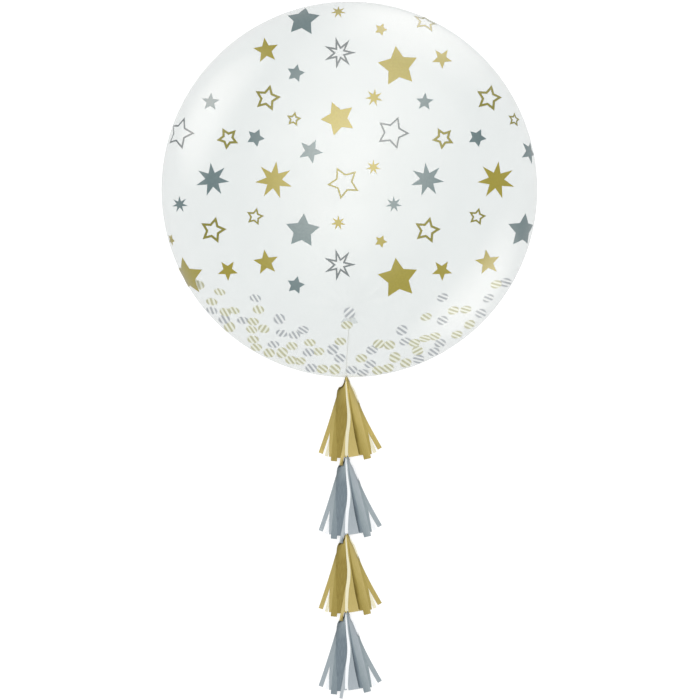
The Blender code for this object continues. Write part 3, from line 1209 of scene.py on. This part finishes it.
# %% The heap that the ribbons are draped over
HUNDREDTH = TASSEL_LENGTH / 100
HEAP = (
    (0, 2.2, -1.6, 1.6),
    (3, 4.2, -2.6, 2.9),
    (9, 7.6, -5.5, 6.0),
    (16, 10.2, -10, 10.2),
    (26, 11.2, -12.2, 13.6),
    (38, 10.6, -14.6, 18),
    (55, 8.0, -20.5, 26),
    (70, 5.0, -26.5, 35),
    (87, 2.4, -32, 42),
    (101, 1.6, -36, 46),
)
LAYER = 0.38 * MM
WAVE = 0.1 * MM
FLOOR_GAP = 0.4 * MM
HEAD_CLEARANCE = 1.2 * MM
TOP_ORDER = 6.0
RIBBON_CUTS_ALONG = 36
RIBBON_CUTS_ACROSS = 6
FOIL_THICKNESS = 0.12 * MM
MAP_WIDTH = 6 * HUNDREDTH
MAP_STEP = 40 * MM


def heap_at(down):
    """The heap's height and its left and right sides, this far down."""
    down = min(max(down, HEAP[0][0]), HEAP[-1][0])
    for one, other in zip(HEAP, HEAP[1:]):
        if down <= other[0]:
            t = ease((down - one[0]) / (other[0] - one[0])) * 0.4
            t += (down - one[0]) / (other[0] - one[0]) * 0.6
            return [a + (b - a) * t for a, b in zip(one[1:], other[1:])]
    return HEAP[-1][1:]


def heap_height(across, down):
    """How high the heap stands above the floor at a place."""
    high, left, right = heap_at(down)
    share = across / (right if across > 0 else left)
    return high * MM * max(0.0, 1 - share**2)


def ribbon_height(across, down, order, over_next):
    """The ribbon's height over its own heap, or over the next tassel's head where that is higher."""
    own = FLOOR_GAP + heap_height(across, down) + order * LAYER
    next_down = down - TASSEL_PITCH / HUNDREDTH
    if not over_next or next_down < -6:
        return own
    head = heap_height(across, max(0.0, next_down)) * ease((next_down + 6) / 6)
    above = FLOOR_GAP + head + (TOP_ORDER * LAYER + HEAD_CLEARANCE) * ease((next_down + 6) / 5)
    above += (order - TOP_ORDER) * LAYER
    near = 0.8 * MM
    return near * math.log(math.exp(own / near) + math.exp(above / near))


def paint_shading(mesh, ribbon):
    """The light and shade painted on the foil at each place, from the ribbon's top to its cut end."""
    painted_shading = mesh.attributes.new("painted_shade", "FLOAT", "POINT")
    start, end = ribbon.painted_shading
    for vertex, painted_shade in zip(mesh.vertices, painted_shading.data):
        painted_shade.value = start + (end - start) * min(1.0, (0.5 - vertex.co.y) / ribbon.fade)
        painted_shade.value += ribbon.shade * vertex.co.x * 2


def drape_ribbon(ribbon, number, over_next, foil):
    """One ribbon, bent from a grid, with its texture map in metres of foil."""
    bpy.ops.object.select_all(action="DESELECT")
    bpy.ops.mesh.primitive_grid_add(
        x_subdivisions=RIBBON_CUTS_ACROSS, y_subdivisions=RIBBON_CUTS_ALONG, size=1
    )
    made = bpy.context.object
    paint_shading(made.data, ribbon)
    route = even_steps([Vector(place) for place in ribbon.way], RIBBON_CUTS_ALONG)
    rng = random.Random(100 + number)
    wave = rng.uniform(0, 2 * math.pi)
    curl = rng.uniform(0, 0.25) * MM
    for vertex in made.data.vertices:
        side, t = vertex.co.x * 2, 0.5 - vertex.co.y
        at = min(RIBBON_CUTS_ALONG, round(t * RIBBON_CUTS_ALONG))
        here = route[at]
        ahead = route[min(at + 1, RIBBON_CUTS_ALONG)] - route[max(at - 1, 0)]
        out = Vector((ahead.y, -ahead.x)).normalized()
        across = here.x + out.x * side * here.z / 2
        down = here.y + out.y * side * here.z / 2
        height = ribbon_height(across, down, ribbon.order, over_next)
        height += WAVE * math.sin(wave + 9 * t + 1.5 * side) * ease(t * 2)
        height += curl * ease((t - 0.75) * 4) * ease(t)
        vertex.co = (across * HUNDREDTH, -down * HUNDREDTH, max(height, FLOOR_GAP))
    for corner, uv in zip(made.data.loops, made.data.uv_layers.active.data):
        uv.uv = (uv.uv.x * MAP_WIDTH + number * MAP_STEP, uv.uv.y * TASSEL_LENGTH)
    for material in foil:
        made.data.materials.append(material)
    for face in made.data.polygons:
        face.material_index = int(ribbon.shows_pale)
    return made


def make_tassel(name, over_next, foil):
    ribbons = [drape_ribbon(r, n, over_next, foil) for n, r in enumerate(RIBBONS)]
    tassel = join(ribbons, name)
    for face in tassel.data.polygons:
        if face.normal.z < 0:
            face.flip()
    apply_modifier(tassel, "SOLIDIFY", thickness=FOIL_THICKNESS, offset=-1)
    bpy.ops.object.shade_smooth_by_angle(angle=math.radians(40))
    return tassel


# %% The four tassels, gold and silver in turn
for number, head in enumerate(HEADS):
    ink_name = ("gold", "silver")[number % 2]
    node = f"tassel_{ink_name}_{number // 2 + 1}"
    tassel = make_tassel(f"foil_{node}", number < len(HEADS) - 1, FOILS[ink_name])
    tassel.data.transform(Matrix.Translation((TAIL_ACROSS, head.y, 0)))
    finish_piece(tassel, [node])

# %% [markdown]
# ## Floor and light
#
# The floor is a lit white sweep, as used for cut-out pictures, and a pale dome lights the rest.
# The film's broad, soft highlights are reflections of soft boxes. Each box is shaped from the
# highlight it gives: a patch of the ball, seen from above, is thrown back along its reflections.
# It fades to its edge, it shows only in reflections and it throws no shadow. The boxes are lights
# and no part of the balloon.

# %% The floor and the dome
FLOOR_SIZE = 40
FLOOR_DROP = 0.2 * MM
FLOOR_SHADE = 0.62
FLOOR_GLOW = 0.5
# In reflections the floor shows only this share of its light, a painted shade on the rims of the ball and
# its stars.
FLOOR_IN_REFLECTIONS = 0.4
DOME_STRENGTH = 1.0


def make_floor():
    bpy.ops.object.select_all(action="DESELECT")
    bpy.ops.mesh.primitive_plane_add(size=FLOOR_SIZE, location=(0, 0, -FLOOR_DROP))
    floor = bpy.context.object
    floor.name = "floor"
    material, tree, shader = new_material("lit_white_sweep")
    ray = add_node(tree, "ShaderNodeLightPath")
    seen = add_node(
        tree,
        "ShaderNodeMapRange",
        {
            "Value": ray.outputs["Is Glossy Ray"],
            "To Min": 1.0,
            "To Max": FLOOR_IN_REFLECTIONS,
        },
    )
    shade = add_node(tree, "ShaderNodeMath", {0: seen.outputs[0], 1: FLOOR_SHADE}, operation="MULTIPLY")
    glow = add_node(tree, "ShaderNodeMath", {0: seen.outputs[0], 1: FLOOR_GLOW}, operation="MULTIPLY")
    set_inputs(
        shader,
        {
            "Base Color": shade.outputs[0],
            "Roughness": 1.0,
            "Specular IOR Level": 0.0,
            "Emission Color": (1, 1, 1, 1),
            "Emission Strength": glow.outputs[0],
        },
    )
    floor.data.materials.append(material)


def make_dome():
    world = bpy.data.worlds.new("dome")
    scene.world = world
    world.use_nodes = True
    background = world.node_tree.nodes["Background"]
    background.inputs["Color"].default_value = (1, 1, 1, 1)
    background.inputs["Strength"].default_value = DOME_STRENGTH


make_floor()
make_dome()


# %% The soft boxes
class Highlight(NamedTuple):
    """A soft patch of light on the ball, seen from above, in shares of the ball's radius.

    away and angle are its middle's, the angle in degrees round from +X. deep and wide are its
    half sizes, towards the rim and round it, and lean turns a broad patch about its middle.
    """

    name: str
    away: float
    angle: float
    deep: float
    wide: float
    strength: float
    lean: float = 0.0


HIGHLIGHTS = (
    Highlight("middle", 0.19, 82, 0.83, 0.60, 6.7, -11),
    Highlight("left", 0.83, 151, 0.13, 0.48, 3.8),
    Highlight("top", 0.875, 66, 0.16, 0.55, 1.9),
    Highlight("right", 0.85, -40, 0.13, 0.49, 3.5),
    Highlight("bright_core", 0.26, 92, 0.31, 0.30, 1.9),
)
BOX_TINT = "#FFF6EE"
BOX_DISTANCE = 100 * MM
BOX_CUTS = 24
GLOW_FALL = 1.3
BROAD_PATCH = 0.3
NEAR_RIM = 0.985
EXPOSURE = 0.15


def glow_material():
    """Adds light where the patch glows, and is clear elsewhere."""
    material = bpy.data.materials.new("soft_box")
    material.use_nodes = True
    tree = material.node_tree
    tree.nodes.clear()
    glow = add_node(tree, "ShaderNodeAttribute", attribute_name="glow")
    shine = {"Strength": glow.outputs["Fac"], "Color": srgb(BOX_TINT)}
    light = add_node(tree, "ShaderNodeEmission", shine)
    clear = add_node(tree, "ShaderNodeBsdfTransparent")
    both = add_node(tree, "ShaderNodeAddShader", {0: light.outputs[0], 1: clear.outputs[0]})
    add_node(tree, "ShaderNodeOutputMaterial", {"Surface": both.outputs[0]})
    return material


def reflected(across, up):
    """Where a ray from above goes from this place on the ball, a box's distance on."""
    away = min(NEAR_RIM, math.hypot(across, up))
    angle = math.atan2(up, across)
    lean = math.asin(away)
    level = math.sin(lean) * BALL_RADIUS + math.sin(2 * lean) * BOX_DISTANCE
    height = math.cos(lean) * BALL_RADIUS + math.cos(2 * lean) * BOX_DISTANCE
    return BALL_CENTRE + Vector((level * math.cos(angle), level * math.sin(angle), height))


def make_box(highlight, material):
    bpy.ops.object.select_all(action="DESELECT")
    bpy.ops.mesh.primitive_grid_add(x_subdivisions=BOX_CUTS, y_subdivisions=BOX_CUTS, size=2)
    box = bpy.context.object
    box.name = box.data.name = f"soft_box_{highlight.name}"
    angle = math.radians(highlight.angle)
    glow = box.data.attributes.new("glow", "FLOAT", "POINT")
    for vertex, value in zip(box.data.vertices, glow.data):
        inward, sideways = vertex.co.x, vertex.co.y
        fall = max(0.0, 1 - inward**2 - sideways**2)
        value.value = highlight.strength * fall**GLOW_FALL
        away = highlight.away + inward * highlight.deep
        if highlight.deep < BROAD_PATCH:
            turn = angle + sideways * highlight.wide / highlight.away
            across, up = away * math.cos(turn), away * math.sin(turn)
        else:
            turn = angle + math.radians(highlight.lean)
            deep, side = inward * highlight.deep, sideways * highlight.wide
            across = highlight.away * math.cos(angle) + deep * math.cos(turn) - side * math.sin(turn)
            up = highlight.away * math.sin(angle) + deep * math.sin(turn) + side * math.cos(turn)
        vertex.co = reflected(across, up)
    box.data.materials.append(material)
    box.visible_camera = False
    box.visible_diffuse = False
    box.visible_transmission = False
    box.visible_volume_scatter = False
    box.visible_shadow = False


soft_box_glow = glow_material()
for highlight in HIGHLIGHTS:
    make_box(highlight, soft_box_glow)
scene.view_settings.view_transform = "Standard"
scene.view_settings.look = "None"
scene.view_settings.exposure = EXPOSURE
